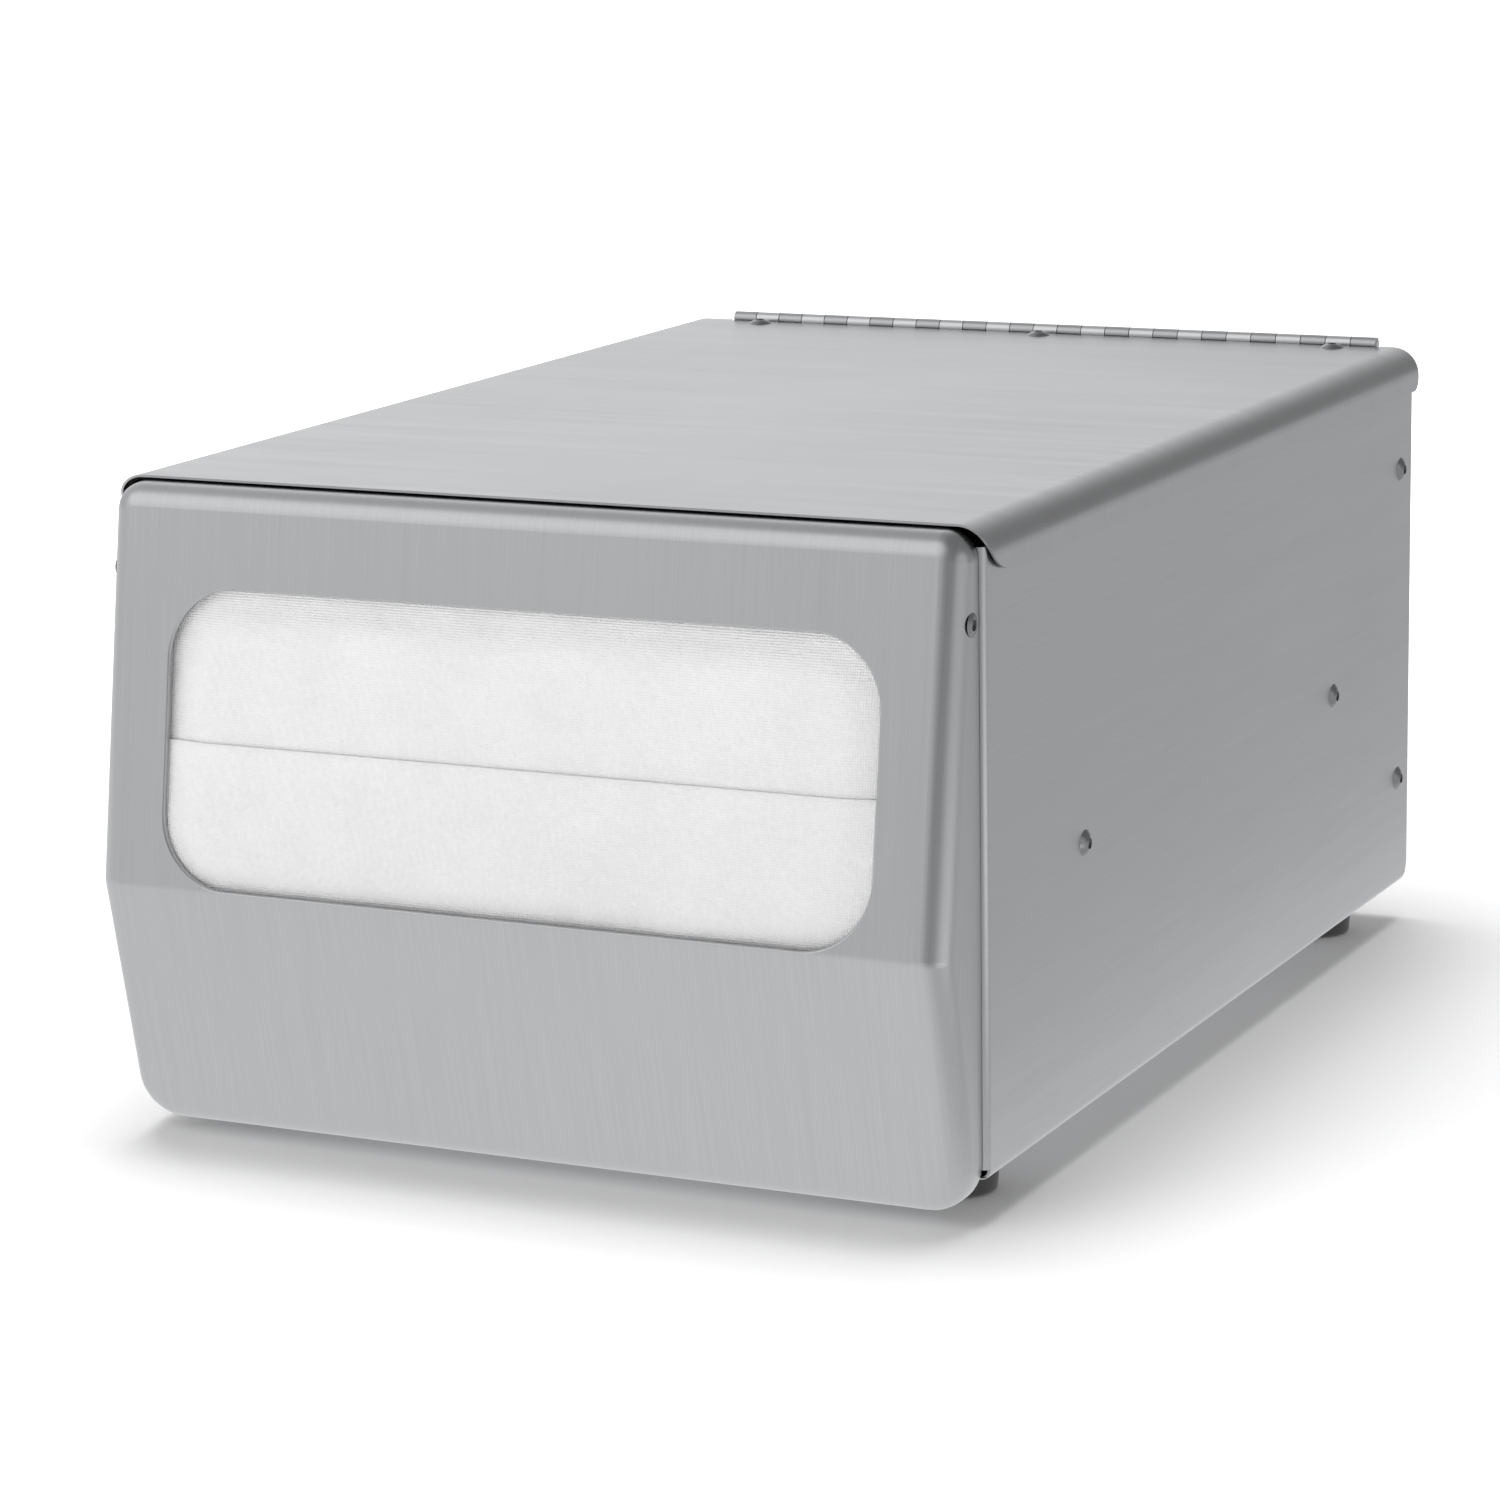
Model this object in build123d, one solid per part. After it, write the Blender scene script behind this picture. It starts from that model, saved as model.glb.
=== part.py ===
from build123d import *
import math
import os

# Countertop napkin dispenser in stainless sheet: a tub with a riveted back pan, a bezel face
# with a window, a lid on a piano hinge, and a spring-fed pusher on two guide rails.
# Millimetres. While modelling, X = 0 is the middle, Y = 0 is the front edge of the side walls
# with +Y to the rear, and Z = 0 is the underside of the floor. place() then moves every
# piece so that the origin is the middle of the footprint, on the counter.

# ---- Driving dimensions ----
body_width = 194.2
body_depth = 268.3
body_height = 131.2          # floor's underside to the lid's top
sheet = 0.5                  # stainless sheet of the housing
floor_bend = 2.0             # outer bend radius along the floor
front_bend = 1.5             # outer bend radius of the front returns
front_return = 8.0           # width of the walls' turned-in front edges
wall_drop = 3.9              # walls' top edge below the lid's underside

# Bezel face
face_step = 1.2              # face's side set in from the wall's outer surface
face_over = 3.4              # face's top above the walls' top edge
face_below = 6.0             # face's bottom below the floor's underside
face_top_out = 6.5           # how far the top edge stands in front of the walls
face_bottom_out = 6.8        # how far the bottom edge stands in front of the walls
knee_out = 18.7              # how far the knee stands in front of the walls
knee_height = 48.0
knee_bend = 4.0
face_bend = 5.2              # outer radius all round the bezel
face_top_corner = 6.0
face_bottom_corner = 10.0
face_joint_gap = 0.2         # between the face and the walls' front returns
face_top_tongue = 12.0       # top flange's reach behind the walls' front edge
window_width = 160.0
window_height = 61.5
window_bottom = 48.4
window_corner = 15.0
window_lip = 0.6             # depth of the window's turned-in lip
window_rim = 0.4             # rounding of the window's front edge
hook_height = 4.0
hook_gap = 0.2
hook_margin = 11.0           # hook and floor lip end this far inside the walls
floor_lip = 5.0

# Lid
lid_overlap = 1.2            # lid's side flange outer face outside the wall's outer face
lid_drop = 10.1
lid_bend = 6.5
lid_front = 0.6              # lid's front edge in front of the walls
lid_rear = 1.4               # lid's side flanges behind the back panel
lid_front_corner = (12.8, 10.0)   # the flanges' rounded ends: reach in Y, height
lid_rear_corner = (3.0, 3.0)

# Back pan
pan_depth = 13.0
pan_fit = 0.1
pan_bottom_bend = 5.0
pan_side_bend = 2.0

# Piano hinge
knuckle_count = 27
knuckle_pitch = 6.35
knuckle_gap = 0.2
knuckle_radius = 1.7
pin_radius = 0.85
pin_clearance = 0.05
leaf = 0.8
leaf_relief = 0.4            # leaf's edge to the other leaf's knuckles
lid_leaf_width = 13.0
body_leaf_width = 18.0
hinge_offset = 2.0           # hinge's middle to the right of the housing's
hinge_rivet_inset = 9.5      # from the end of the hinge
lid_rivet_from_axis = 6.1
body_rivet_from_axis = 12.4

# Rivets of the housing
rivet_shank = 1.6
rivet_hole = 1.7
rivet_head = 2.9
rivet_head_height = 1.2
rivet_tail = 2.4
rivet_tail_height = 1.1
dimple_radius = 1.1
dimple_depth = 0.5
back_rivet_low = 27.0
back_rivet_from_top = 23.8
back_rivet_inset = 8.1
face_rivet_from_top = 18.0
face_rivet_out = 3.4
face_rivet_head = 2.5
face_rivet_head_height = 0.5

# Ears that carry the face
ear_reach = 5.7
ear_height = 13.0
ear_corner = 4.5
ear_clearance = 0.1          # ear to the face's inner bend at its closest

# Guide rails
rail_height = 13.0
rail_depth = 8.8
rail_middle = 57.0
rail_front_gap = 3.0
rail_rear_gap = 1.3
rail_rivet_front = 52.4
rail_rivet_rear = 57.5       # from the rear face

# Pusher
pusher_sheet = 1.0
pusher_at_rest = 226.0       # front face, magazine full
pusher_travel = 215.0
pusher_clear_floor = 3.0
pusher_top = 116.0
pusher_bend = 2.0
pusher_rim = 10.0
pusher_tab_depth = 26.0
pusher_tab_height = 30.0
grip_width = 62.0
grip_height = 18.0
grip_from_top = 20.0
shoe_length = 24.0
shoe_height = 28.0
shoe_base = 3.2
shoe_clearance = 0.3
tongue_reach = 5.8
shoe_rivet_spread = 20.0
small_shank = 1.2
small_hole = 1.3
small_head = 2.1
small_head_height = 0.9

# Constant-force spring
coil_radius = 12.0
coil_inner = 9.0
coil_width = 16.0
coil_behind_plate = 17.0
strip_thickness = 0.3
strip_lift = 0.2             # strip above the floor
coil_lift = 0.1              # coil above the strip
spool_rim = 11.0
spool_rim_width = 1.6
spool_rim_gap = 0.5
axle_radius = 2.0
axle_clearance = 0.05
bracket_sheet = 1.2
bracket_side_gap = 1.4
bracket_wing = 10.0
bracket_height = 22.0
bracket_clear_floor = 5.6
bracket_ear_end = 7.0
clip_radius = 3.8
clip_thickness = 0.7
clip_groove = 0.4
axle_end = 1.2
anchor_from_front = 14.0
anchor_head = 2.6
anchor_head_height = 0.4

# Napkins
napkin_width = 165.0
napkin_height = 112.0
napkin_lift = 1.0            # above the floor
napkin_gap = 0.3             # behind the window's lip
front_napkin_flap = 78.3     # height of the front flap's folded edge
ply = 0.7                    # one folded panel
stack_gap = 0.2

# Feet
foot_height = 9.5
foot_radius = 8.5
foot_taper = 0.7
foot_edge = 1.2
foot_inset_side = 15.6
foot_inset_end = 22.0
foot_bore = 2.1
foot_recess = 4.6
foot_recess_depth = 5.0
foot_rivet_shank = 1.9
foot_rivet_head = 4.0
foot_rivet_head_height = 0.7
foot_washer = 4.3
foot_washer_thickness = 0.8
foot_rivet_tail = 3.2
foot_rivet_tail_height = 1.1

# ---- Places worked out from the dimensions ----
half_width = body_width / 2
wall_inside = half_width - sheet
wall_top = body_height - sheet - wall_drop
face_half = half_width - face_step
face_top = wall_top + face_over
upper_slope = (knee_out - face_top_out) / (face_top - knee_height)
lower_slope = (knee_out - face_bottom_out) / (knee_height + face_below)
face_rivet_z = face_top - face_rivet_from_top
window_middle = window_bottom + window_height / 2
lid_half = half_width + lid_overlap
lid_under = body_height - sheet
hinge_length = knuckle_count * knuckle_pitch
axis_y = body_depth + knuckle_radius
axis_z = lid_under - leaf + knuckle_radius
hinge_rivet_spread = hinge_length / 2 - hinge_rivet_inset
hinge_left = hinge_offset - hinge_length / 2
hinge_right = hinge_offset + hinge_length / 2
hinge_rivet_xs = [hinge_offset + s * hinge_rivet_spread for s in (-1, 0, 1)]
pan_front = body_depth - pan_depth
rail_front = rail_front_gap
rail_rear = pan_front - rail_rear_gap
rail_inner = wall_inside - rail_depth
pusher_half = rail_inner - shoe_clearance - shoe_base
coil_y = pusher_at_rest + coil_behind_plate
strip_bottom = sheet + strip_lift
strip_top = strip_bottom + strip_thickness
coil_z = strip_top + coil_lift + coil_radius
napkin_bottom = sheet + napkin_lift
napkin_top = napkin_bottom + napkin_height
napkin_inset = sheet + window_lip + napkin_gap

OUT_X = Plane(origin=(0, 0, 0), x_dir=(0, 1, 0), z_dir=(1, 0, 0))


def block(x0, x1, y0, y1, z0, z1):
    """A box between two corners."""
    return Pos((x0 + x1) / 2, (y0 + y1) / 2, (z0 + z1) / 2) * Box(x1 - x0, y1 - y0, z1 - z0)


def rod_x(x0, x1, y, z, radius):
    """A cylinder along X."""
    return Pos((x0 + x1) / 2, y, z) * Rot(0, 90, 0) * Cylinder(radius, x1 - x0)


def rod_z(x, y, z0, z1, radius):
    """A cylinder along Z."""
    return Pos(x, y, (z0 + z1) / 2) * Cylinder(radius, z1 - z0)


def both_sides(solid):
    """A solid and its mirror image across the middle plane."""
    return [solid, mirror(solid, about=Plane.YZ)]


def side_profile(points):
    """A closed outline in the YZ plane, from (y, z) points."""
    return make_face(Polyline(*[(0, y, z) for y, z in points], close=True))


def across(profile, half):
    """A YZ outline drawn out to half on both sides of the middle."""
    return extrude(profile, amount=half, dir=(1, 0, 0), both=True)


def place(name, solids):
    """Move a piece, or a group of them, to the counter frame and write it."""
    knee_front = front_y(knee_z(knee_bend), knee_bend) - knee_bend
    shift_y = -(knee_front + axis_y + knuckle_radius) / 2
    moved = [Pos(0, shift_y, foot_height) * solid for solid in solids]
    shape = moved[0] if len(moved) == 1 else Compound(children=moved)
    shape.label = name
    export_step(shape, f"parts/{name}.step")


def dome_rivet(length, shank, head, head_height, tail, tail_height):
    """A rivet along +Z: the domed head's flat seat is at Z = 0 and its shank goes down."""
    ball = (head**2 + head_height**2) / (2 * head_height)
    dome = Pos(0, 0, head_height - ball) * Sphere(ball)
    dome = dome & rod_z(0, 0, 0, head_height, head)
    dome -= rod_z(0, 0, head_height - dimple_depth, head_height + 1, min(dimple_radius, head / 2))
    return dome + rod_z(0, 0, -length, 0, shank) + rod_z(0, 0, -length - tail_height, -length, tail)


def side_rivet(y, z, seat_x, length):
    """The housing's rivet, with its head's seat on the plane X = seat_x."""
    rivet = dome_rivet(length, rivet_shank, rivet_head, rivet_head_height, rivet_tail, rivet_tail_height)
    return Pos(seat_x, y, z) * Rot(0, 90, 0) * rivet


# ---- The face's front surface, as two planes that meet at the knee ----
def front_y(z, inset):
    """The face's front at height z, moved in by inset square to its own planes."""
    upper = -knee_out + (z - knee_height) * upper_slope + inset * math.hypot(1, upper_slope)
    lower = -knee_out + (knee_height - z) * lower_slope + inset * math.hypot(1, lower_slope)
    return max(upper, lower)


def knee_z(inset):
    """The height of the knee once both planes have moved in by inset."""
    step = math.hypot(1, lower_slope) - math.hypot(1, upper_slope)
    return knee_height + inset * step / (upper_slope + lower_slope)


def front_points(inset, bottom, top):
    """The front outline from the top down, for a profile in YZ."""
    middle = knee_z(inset)
    return [(front_y(z, inset), z) for z in (top, middle, bottom)]


def ear_gap():
    """From the face's flank to an ear, so that the ear's front clears the bend inside the face."""
    radius = face_bend - sheet
    bend_start = front_y(face_rivet_z + ear_height / 2 - ear_corner, sheet) + radius
    into_bend = min(max(bend_start + ear_reach, 0), radius)
    return ear_clearance + radius - math.sqrt(radius**2 - into_bend**2)


def bezel_block(inset, back):
    """The face as a solid block, moved in by inset on every side, up to Y = back."""
    top, bottom = face_top - inset, -face_below + inset
    outline = side_profile([(back, top)] + front_points(inset, bottom, top) + [(back, bottom)])
    knee = outline.vertices().sort_by(Axis.Y)[0]
    solid = across(fillet(knee, knee_bend - inset), face_half - inset)
    ends = solid.edges().filter_by(Axis.Y).group_by(Axis.Z)
    solid = fillet(ends[-1], face_top_corner - inset)
    ends = solid.edges().filter_by(Axis.Y).group_by(Axis.Z)
    solid = fillet(ends[0], face_bottom_corner - inset)
    rear = solid.faces().sort_by(Axis.Y)[-1]
    front = [e for e in solid.edges() if on_front_rim(e, inset, rear)]
    return fillet(front, face_bend - inset)


def on_front_rim(edge, inset, rear):
    """True for the edges between the front planes and the block's sides, top and bottom."""
    middle = edge @ 0.5
    if abs(middle.Y - rear.center().Y) < 0.01 or edge.geom_type == GeomType.LINE and (
        abs((edge % 0.5).Y) > 0.999
    ):
        return False
    inside = abs(middle.X) < face_half - inset - face_bend and middle.Z > -face_below + 12
    return not (inside and middle.Z < face_top - inset - 1)


def window_outline(grow):
    """The window's rounded outline, grown all round, drawn through the face."""
    sketch = RectangleRounded(
        window_width + 2 * grow, window_height + 2 * grow, window_corner + grow
    )
    plane = Plane(origin=(0, 0, window_middle), x_dir=(1, 0, 0), z_dir=(0, -1, 0))
    return extrude(plane * sketch, amount=knee_out + 10)


def on_window_rim(edge):
    """True for the edges where the window's outline meets the front surface."""
    point = edge @ 0.5
    across_x = abs(point.X) - (window_width / 2 - window_corner)
    across_z = abs(point.Z - window_middle) - (window_height / 2 - window_corner)
    radius = math.hypot(max(across_x, 0), max(across_z, 0)) + min(max(across_x, across_z), 0)
    in_front = abs(point.Y - front_y(point.Z, 0)) < 0.3
    return in_front and abs(radius - window_corner) < 0.01


def make_faceplate():
    """The bezel face with its window, its top tongue and the hook under the floor's lip."""
    outer = bezel_block(0, face_top_tongue)
    shell = outer - bezel_block(sheet, face_top_tongue + 1)
    deep = bezel_block(sheet + window_lip, face_top_tongue + 1)
    lip = (window_outline(sheet) & outer) - deep
    shell = shell + lip - window_outline(0)
    shell = fillet([e for e in shell.edges() if on_window_rim(e)], window_rim)
    rear = block(-face_half - 1, face_half + 1, -face_joint_gap, face_top_tongue + 1,
                 -face_below - 1, face_top + 1)
    tongue_half = face_half - face_top_corner - 1
    tongue = block(-tongue_half, tongue_half, -1, face_top_tongue, face_top - sheet, face_top)
    hook_half = half_width - hook_margin
    hook_front = sheet + hook_gap
    under = block(-hook_half, hook_half, -1, hook_front + sheet, -face_below, -face_below + sheet)
    hook = block(-hook_half, hook_half, hook_front, hook_front + sheet,
                 -face_below, -face_below + sheet + hook_height)
    shell = shell - rear + tongue + under + hook
    for side in (-1, 1):
        shell -= rod_x(side * face_half - 3, side * face_half + 3, -face_rivet_out, face_rivet_z, rivet_hole)
    return shell


# ---- Housing ----
def wall_holes():
    """Rivet holes through the side walls: (y, z)."""
    back_y = body_depth - back_rivet_inset
    rails = [(rail_rivet_front, rail_middle), (body_depth - rail_rivet_rear, rail_middle)]
    return rails + [(back_y, back_rivet_low), (back_y, wall_top - back_rivet_from_top)]


def foot_places():
    """Where the four feet stand: (name, x, y)."""
    x = half_width - foot_inset_side
    ends = (("front", foot_inset_end), ("rear", body_depth - foot_inset_end))
    return [(f"{end}_{side}", s * x, y) for end, y in ends for side, s in (("left", -1), ("right", 1))]


def make_body_shell():
    """Floor and side walls in one sheet, with front returns, face ears and the floor's front lip."""
    outer = block(-half_width, half_width, 0, body_depth, 0, wall_top)
    outer = fillet(outer.edges().filter_by(Axis.Y).group_by(Axis.Z)[0], floor_bend)
    outer = fillet(outer.edges().filter_by(Axis.Z).group_by(Axis.Y)[0], front_bend)
    inner = block(-wall_inside, wall_inside, sheet, body_depth + 5, sheet, wall_top + 5)
    inner = fillet(inner.edges().filter_by(Axis.Y).group_by(Axis.Z)[0], floor_bend - sheet)
    inner = fillet(inner.edges().filter_by(Axis.Z).group_by(Axis.Y)[0], front_bend - sheet)
    shell = outer - inner
    gap = half_width - front_return
    shell -= block(-gap, gap, -1, sheet + 1, sheet, wall_top + 1)
    notch_top = floor_bend + 0.3
    for side in (-1, 1):
        x0, x1 = sorted((side * (gap - 1), side * (half_width + 1)))
        shell -= block(x0, x1, -1, 2 * sheet, sheet, notch_top)
    corner = pan_bottom_bend + sheet
    trim = block(-half_width - 1, half_width + 1, body_depth - corner, body_depth + 1, -1, corner)
    trim -= rod_x(-half_width - 2, half_width + 2, body_depth - corner, corner, corner)
    shell -= trim
    ear_outer = face_half - sheet - ear_gap()
    lip_half = half_width - hook_margin
    shell += block(-lip_half, lip_half, 0, sheet, -floor_lip, sheet)
    ear = block(ear_outer - sheet, ear_outer, -ear_reach, sheet,
                face_rivet_z - ear_height / 2, face_rivet_z + ear_height / 2)
    ear = fillet(ear.edges().filter_by(Axis.X).group_by(Axis.Y)[0], ear_corner)
    ear -= rod_x(ear_outer - 2, ear_outer + 1, -face_rivet_out, face_rivet_z, rivet_hole)
    for piece in both_sides(ear):
        shell += piece
    for y, z in wall_holes():
        shell -= rod_x(-half_width - 1, half_width + 1, y, z, rivet_hole)
    for _, x, y in foot_places():
        shell -= rod_z(x, y, -1, sheet + 1, foot_bore)
    return shell - rod_z(0, anchor_from_front, -1, sheet + 1, small_hole)


def make_back_panel():
    """The rear pan, open to the front, nested inside the walls and on the floor."""
    half = wall_inside - pan_fit
    low = sheet + pan_fit

    def pan(inset, front):
        solid = block(-half + inset, half - inset, front, body_depth - inset, low + inset, wall_top - inset)
        rear = solid.edges().filter_by(Axis.X).group_by(Axis.Y)[-1].sort_by(Axis.Z)
        solid = fillet(rear[0], pan_bottom_bend - inset)
        rear = solid.edges().filter_by(Axis.X).group_by(Axis.Y)[-1].sort_by(Axis.Z)
        solid = fillet(rear[-1], pan_side_bend - inset)
        low_sides = solid.edges().filter_by(Axis.Y).group_by(Axis.Z)[0]
        return fillet(low_sides, floor_bend - inset)

    shell = pan(0, pan_front) - pan(sheet, pan_front - 1)
    back_y = body_depth - back_rivet_inset
    for z in (back_rivet_low, wall_top - back_rivet_from_top):
        shell -= rod_x(-half - 1, half + 1, back_y, z, rivet_hole)
    for x in hinge_rivet_xs:
        hole = Pos(x, body_depth, axis_z - body_rivet_from_axis) * Rot(90, 0, 0)
        shell -= hole * Cylinder(rivet_hole, 4 * sheet)
    return shell


def lid_section():
    """The lid's section across the body: flat top, two bends and two short flanges."""
    low = body_height - lid_drop

    def solid_section(inset):
        half = lid_half - inset
        height = body_height - inset - low + inset * 2
        face = Pos(0, low - inset * 2 + height / 2) * Rectangle(2 * half, height)
        return fillet(face.vertices().group_by(Axis.Y)[-1], lid_bend - inset)

    return Plane.XZ * (solid_section(0) - solid_section(sheet))


def make_lid():
    """The lid, with rounded flange corners and a notch at the rear for the hinge."""
    rear = body_depth + lid_rear
    lid = Pos(0, rear, 0) * extrude(lid_section(), amount=rear + lid_front)
    low = body_height - lid_drop
    for y, (reach, height), toward in ((-lid_front, lid_front_corner, 1), (rear, lid_rear_corner, -1)):
        y0, y1 = sorted((y - toward, y + toward * reach))
        trim = block(-lid_half - 1, lid_half + 1, y0, y1, low - 1, low + height)
        plane = Plane(origin=(-lid_half - 2, y + toward * reach, low + height),
                      x_dir=(0, 1, 0), z_dir=(1, 0, 0))
        trim -= extrude(plane * Ellipse(reach, height), amount=2 * lid_half + 4)
        lid -= trim
    notch_front = axis_y - knuckle_radius - leaf_relief
    lid -= block(hinge_left - 1, hinge_right + 1, notch_front, rear + 1, low, body_height + 1)
    for x in hinge_rivet_xs:
        lid -= rod_z(x, axis_y - lid_rivet_from_axis, lid_under - 1, body_height + 1, rivet_hole)
    return lid


# ---- Piano hinge ----
def knuckle_span(index):
    """A knuckle's ends along X."""
    start = hinge_left + index * knuckle_pitch
    return start + knuckle_gap / 2, start + knuckle_pitch - knuckle_gap / 2


def make_leaf(first, plate_near, plate_far):
    """A leaf: plate_near(x0, x1) joins a knuckle, plate_far is the sheet clear of the others."""
    solid = plate_far
    for index in range(first, knuckle_count, 2):
        x0, x1 = knuckle_span(index)
        solid += rod_x(x0, x1, axis_y, axis_z, knuckle_radius)
        solid += plate_near(x0, x1)
    bore = pin_radius + pin_clearance
    return solid - rod_x(-hinge_length, hinge_length, axis_y, axis_z, bore)


def make_hinge_leaf_lid():
    """The leaf under the lid, with the knuckles at both ends of the hinge."""
    left, right = hinge_left + knuckle_gap / 2, hinge_right - knuckle_gap / 2
    low = axis_z - knuckle_radius
    edge = axis_y - knuckle_radius - leaf_relief
    plate = block(left, right, axis_y - lid_leaf_width, edge, low, low + leaf)
    solid = make_leaf(0, lambda x0, x1: block(x0, x1, edge - 0.5, axis_y, low, low + leaf), plate)
    for x in hinge_rivet_xs:
        solid -= rod_z(x, axis_y - lid_rivet_from_axis, low - 1, low + leaf + 1, rivet_hole)
    return solid


def make_hinge_leaf_body():
    """The leaf down the back panel."""
    left, right = hinge_left + knuckle_gap / 2, hinge_right - knuckle_gap / 2
    front = axis_y - knuckle_radius
    edge = axis_z - knuckle_radius - leaf_relief
    plate = block(left, right, front, front + leaf, axis_z - body_leaf_width, edge)
    solid = make_leaf(1, lambda x0, x1: block(x0, x1, front, front + leaf, edge - 0.5, axis_z), plate)
    for x in hinge_rivet_xs:
        hole = Pos(x, front, axis_z - body_rivet_from_axis) * Rot(90, 0, 0)
        solid -= hole * Cylinder(rivet_hole, 4 * leaf)
    return solid


def make_hinge_pin():
    """The pin through all the knuckles."""
    return rod_x(hinge_left, hinge_right, axis_y, axis_z, pin_radius)


def make_hinge_rivets():
    """Rivets through lid and lid leaf, and through body leaf and back panel."""
    sizes = (rivet_shank, rivet_head, rivet_head_height, rivet_tail, rivet_tail_height)
    down = dome_rivet(sheet + leaf, *sizes)
    lid_set = [Pos(x, axis_y - lid_rivet_from_axis, body_height) * down for x in hinge_rivet_xs]
    seat = axis_y - knuckle_radius + leaf
    body_set = [Pos(x, seat, axis_z - body_rivet_from_axis) * Rot(-90, 0, 0) * down
                for x in hinge_rivet_xs]
    return lid_set, body_set


# ---- Guide rails and pusher ----
def make_rail():
    """The right guide rail: a channel, open to the middle, riveted to the wall."""
    low = rail_middle - rail_height / 2
    high = rail_middle + rail_height / 2
    rail = block(rail_inner, wall_inside, rail_front, rail_rear, low, high)
    rail -= block(rail_inner - 1, wall_inside - sheet, rail_front - 1, rail_rear + 1,
                  low + sheet, high - sheet)
    for y in (rail_rivet_front, body_depth - rail_rivet_rear):
        rail -= rod_x(wall_inside - 2, wall_inside + 1, y, rail_middle, rivet_hole)
    return rail


def make_pusher_plate():
    """The follower plate: a shallow pan open to the rear, with a finger slot and two side tabs."""
    rear = pusher_at_rest + pusher_tab_depth

    def pan(inset, end):
        solid = block(-pusher_half + inset, pusher_half - inset, pusher_at_rest + inset, end,
                      pusher_clear_floor + inset, pusher_top - inset)
        front = solid.edges().group_by(Axis.Y)[0]
        return fillet(front, pusher_bend - inset)

    plate = pan(0, rear) - pan(pusher_sheet, rear + 1)
    inner = pusher_half - pusher_sheet
    plate -= block(-inner, inner, pusher_at_rest + pusher_rim, rear + 1, 0, pusher_top + 1)
    tab_low = rail_middle - pusher_tab_height / 2
    tab_high = rail_middle + pusher_tab_height / 2
    for z0, z1 in ((0, tab_low), (tab_high, pusher_top + 1)):
        plate -= block(-pusher_half - 1, pusher_half + 1, pusher_at_rest + pusher_rim, rear + 1, z0, z1)
    notch = coil_width / 2 + spool_rim_gap + spool_rim_width + bracket_side_gap + bracket_sheet + 1
    plate -= block(-notch, notch, pusher_at_rest + pusher_sheet + pusher_bend, rear, 0, bracket_height)
    slot = Plane(origin=(0, pusher_at_rest, pusher_top - grip_from_top), x_dir=(1, 0, 0), z_dir=(0, 1, 0))
    plate -= extrude(slot * SlotOverall(grip_width, grip_height), amount=pusher_rim, both=True)
    for y, z in shoe_rivet_places():
        plate -= rod_x(-pusher_half - 1, pusher_half + 1, y, z, small_hole)
    for x, z in bracket_rivet_places():
        hole = Pos(x, pusher_at_rest, z) * Rot(90, 0, 0)
        plate -= hole * Cylinder(small_hole, 4 * pusher_sheet)
    return plate


def shoe_rivet_places():
    """Two rivets to a shoe, above and below the rail: (y, z)."""
    y = pusher_at_rest + pusher_tab_depth - shoe_length / 2 - 1
    return [(y, rail_middle + s * shoe_rivet_spread / 2) for s in (-1, 1)]


def make_shoe():
    """The right guide shoe: a base on the pusher's tab and a tongue in the rail."""
    y1 = pusher_at_rest + pusher_tab_depth - 1
    y0 = y1 - shoe_length
    base = block(pusher_half, pusher_half + shoe_base, y0, y1,
                 rail_middle - shoe_height / 2, rail_middle + shoe_height / 2)
    tongue_half = rail_height / 2 - sheet - shoe_clearance
    tongue = block(pusher_half, pusher_half + shoe_base + tongue_reach, y0, y1,
                   rail_middle - tongue_half, rail_middle + tongue_half)
    tongue = chamfer(tongue.edges().filter_by(Axis.Z).group_by(Axis.X)[-1], 1.0)
    shoe = base + tongue
    for y, z in shoe_rivet_places():
        shoe -= rod_x(pusher_half - 1, pusher_half + shoe_base + 1, y, z, small_hole)
    return shoe


def small_rivet(length):
    """A small rivet along +Z, its head's seat at Z = 0."""
    return dome_rivet(length, small_shank, small_head, small_head_height, small_head, small_head_height)


def make_shoe_rivets():
    """Four small rivets, two to a shoe."""
    rivet = small_rivet(pusher_sheet + shoe_base)
    right = [Pos(pusher_half + shoe_base, y, z) * Rot(0, 90, 0) * rivet for y, z in shoe_rivet_places()]
    return [piece for one in right for piece in both_sides(one)]


def bracket_inner():
    """Half the space between the spring bracket's ears."""
    return coil_width / 2 + spool_rim_gap + spool_rim_width + bracket_side_gap


def bracket_rivet_places():
    """Rivets through the bracket's wings: (x, z)."""
    x = bracket_inner() + bracket_sheet + bracket_wing / 2
    z = bracket_clear_floor + bracket_height / 2
    return [(-x, z), (x, z)]


def make_spring_bracket():
    """A bracket on the pusher's back: a plate with two ears that carry the spool's axle."""
    front = pusher_at_rest + pusher_sheet
    inner = bracket_inner()
    outer = inner + bracket_sheet
    z0, z1 = bracket_clear_floor + pusher_sheet, bracket_clear_floor + bracket_height
    bracket = block(-outer - bracket_wing, outer + bracket_wing, front, front + bracket_sheet, z0, z1)
    for side in (-1, 1):
        x0, x1 = sorted((side * inner, side * outer))
        ear = block(x0, x1, front, coil_y, coil_z - bracket_ear_end, coil_z + bracket_ear_end)
        ear += rod_x(x0, x1, coil_y, coil_z, bracket_ear_end)
        bracket += ear
    bracket -= rod_x(-outer - 1, outer + 1, coil_y, coil_z, axle_radius + axle_clearance)
    for x, z in bracket_rivet_places():
        hole = Pos(x, front, z) * Rot(90, 0, 0)
        bracket -= hole * Cylinder(small_hole, 4 * bracket_sheet)
    return bracket


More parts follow.
